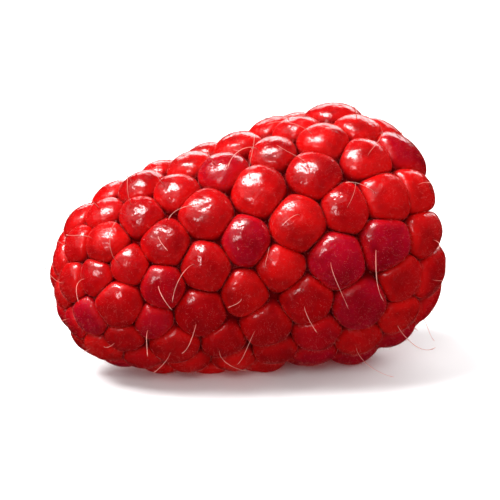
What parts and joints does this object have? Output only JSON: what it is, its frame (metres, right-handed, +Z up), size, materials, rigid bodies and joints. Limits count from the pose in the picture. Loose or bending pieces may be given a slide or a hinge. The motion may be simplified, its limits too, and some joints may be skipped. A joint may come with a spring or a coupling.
{
  "type": "raspberry",
  "caption": "Ripe red raspberry as picked: a blunt cone of round druplets fused round an open hollow, lying on its side.",
  "frame": {"origin": "on the surface that the fruit lies on, under the centre of its bounding box", "axes": "+X towards the open mouth and away from the tip, +Z up"},
  "size_m": [0.0286, 0.0196, 0.0194],
  "materials": {
    "raspberry_flesh": "thin moist skin over red juice, with soft highlights and a faint down"
  },
  "bodies": {
    "root": {"raspberry": "raspberry_flesh"}
  },
  "joints": []
}
